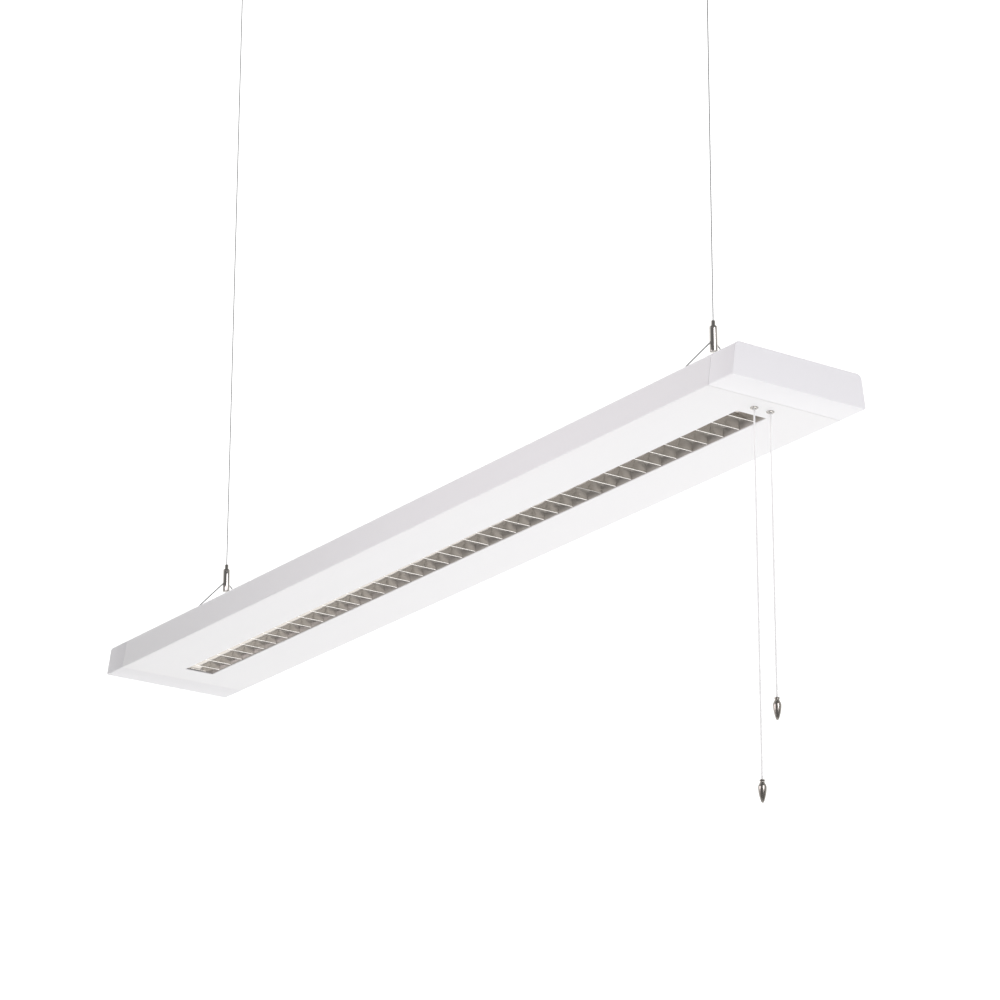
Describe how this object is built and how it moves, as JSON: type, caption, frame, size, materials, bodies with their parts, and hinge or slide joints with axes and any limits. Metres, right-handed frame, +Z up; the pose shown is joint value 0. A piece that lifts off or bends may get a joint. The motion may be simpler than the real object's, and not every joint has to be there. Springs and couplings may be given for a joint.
{
  "type": "pendant workplace luminaire",
  "caption": "Slim white ceiling-hung luminaire with a narrow parabolic louvre, wire suspension with grippers, and pull-cord switches with bullet weights.",
  "frame": {"origin": "on the ceiling plane, midway between the two ceiling fixings", "axes": "+X along the housing towards the end with the pull cords, -Y the front long side, +Z up"},
  "size_m": [1.283, 0.1776, 1.38],
  "materials": {
    "white_enamel": "smooth semi-gloss white powder coat on folded steel",
    "white_plastic": "moulded white, fine satin",
    "bright_aluminium": "bright-anodised, near mirror",
    "spring_steel": "plain spring steel",
    "mill_aluminium": "extruded, mill finish",
    "board_aluminium": "white solder mask on aluminium core",
    "opal_acrylic": "opal",
    "clear_acrylic": "frosted clear",
    "driver_case": "moulded, matt",
    "terminal_plastic": "moulded polyamide",
    "brass": "turned",
    "cable_sheath": "soft PVC",
    "gland_nylon": "moulded nylon",
    "steel_wire": "stranded stainless wire",
    "nickel_plate": "bright nickel plate",
    "satin_nickel": "satin nickel plate",
    "switch_plastic": "moulded thermoset",
    "cord_braid": "white braided cord"
  },
  "bodies": {
    "ceiling": {"ceiling_bases": "nickel_plate", "ceiling_caps": "nickel_plate"},
    "swivels": {"ball_ends": "nickel_plate"},
    "wire_left": {"suspension_wire_left": "steel_wire"},
    "gripper_left": {"gripper_body_left": "nickel_plate", "gripper_spring_left": "spring_steel", "sling_left": "steel_wire", "sling_ends_left": "nickel_plate"},
    "plunger_left": {"gripper_plunger_left": "nickel_plate", "gripper_jaws_left": "spring_steel"},
    "wire_right": {"suspension_wire_right": "steel_wire"},
    "gripper_right": {"gripper_body_right": "nickel_plate", "gripper_spring_right": "spring_steel", "sling_right": "steel_wire", "sling_ends_right": "nickel_plate"},
    "plunger_right": {"gripper_plunger_right": "nickel_plate", "gripper_jaws_right": "spring_steel"},
    "lamp": {"cable_gland": "gland_nylon", "cord_bush_back": "nickel_plate", "cord_bush_front": "nickel_plate", "downlight_boards": "board_aluminium", "downlight_diffuser": "opal_acrylic", "driver_downlight": "driver_case", "driver_uplight": "driver_case", "earth_stud": "brass", "end_cap_left": "white_plastic", "end_cap_right": "white_plastic", "gland_nut": "gland_nylon", "housing": "white_enamel", "light_channel": "mill_aluminium", "louvre_blades": "bright_aluminium", "louvre_clips": "spring_steel", "louvre_ends": "bright_aluminium", "louvre_side_back": "bright_aluminium", "louvre_side_front": "bright_aluminium", "pull_spring_back": "spring_steel", "pull_spring_front": "spring_steel", "pull_switch_back": "switch_plastic", "pull_switch_front": "switch_plastic", "terminal_block": "terminal_plastic", "top_cover": "white_enamel", "uplight_boards": "board_aluminium", "uplight_lens": "clear_acrylic", "wiring_loom": "cable_sheath"},
    "pull_front": {"pull_bar_front": "switch_plastic", "pull_cord_front": "cord_braid", "cord_knob_front": "satin_nickel"},
    "pull_back": {"pull_bar_back": "switch_plastic", "pull_cord_back": "cord_braid", "cord_knob_back": "satin_nickel"}
  },
  "joints": [
    {"name": "swing_across", "type": "hinge", "parent": "ceiling", "child": "swivels", "pos_m": [0, 0, -0.0175], "axis": [1, 0, 0], "range_deg": [-10, 10]},
    {"name": "swing_along", "type": "hinge", "parent": "swivels", "child": "wire_left", "pos_m": [-0.5, 0, -0.0175], "axis": [0, 1, 0], "range_deg": [-10, 10]},
    {"name": "swing_right", "type": "hinge", "parent": "swivels", "child": "wire_right", "pos_m": [0.5, 0, -0.0175], "axis": [0, 1, 0], "range_deg": [-10, 10]},
    {"name": "height_left", "type": "slide", "parent": "wire_left", "child": "gripper_left", "axis": [0, 0, 1], "range_m": [0, 0.75], "deforming": ["suspension_wire_left"]},
    {"name": "height_right", "type": "slide", "parent": "wire_right", "child": "gripper_right", "axis": [0, 0, 1], "range_m": [0, 0.75], "deforming": ["suspension_wire_right"]},
    {"name": "plunger_left", "type": "slide", "parent": "gripper_left", "child": "plunger_left", "axis": [0, 0, -1], "range_m": [0, 0.002], "stiffness_N_per_m": 1500, "springref_m": -0.002, "deforming": ["gripper_spring_left"]},
    {"name": "plunger_right", "type": "slide", "parent": "gripper_right", "child": "plunger_right", "axis": [0, 0, -1], "range_m": [0, 0.002], "stiffness_N_per_m": 1500, "springref_m": -0.002, "deforming": ["gripper_spring_right"]},
    {"name": "lamp_level", "type": "hinge", "parent": "gripper_left", "child": "lamp", "pos_m": [-0.5, 0, -0.92113], "axis": [0, 1, 0], "range_deg": [-10, 10]},
    {"name": "pull_front", "type": "slide", "parent": "lamp", "child": "pull_front", "axis": [0, 0, -1], "range_m": [0, 0.008], "stiffness_N_per_m": 900, "springref_m": -0.006, "deforming": ["pull_spring_front"]},
    {"name": "pull_back", "type": "slide", "parent": "lamp", "child": "pull_back", "axis": [0, 0, -1], "range_m": [0, 0.008], "stiffness_N_per_m": 900, "springref_m": -0.006, "deforming": ["pull_spring_back"]}
  ],
  "couplings": [
    {"joint": "swing_right", "follows": "swing_along", "ratio": 1},
    {"joint": "lamp_level", "follows": "swing_along", "ratio": -1},
    {"joint": "height_right", "follows": "height_left", "ratio": 1}
  ]
}
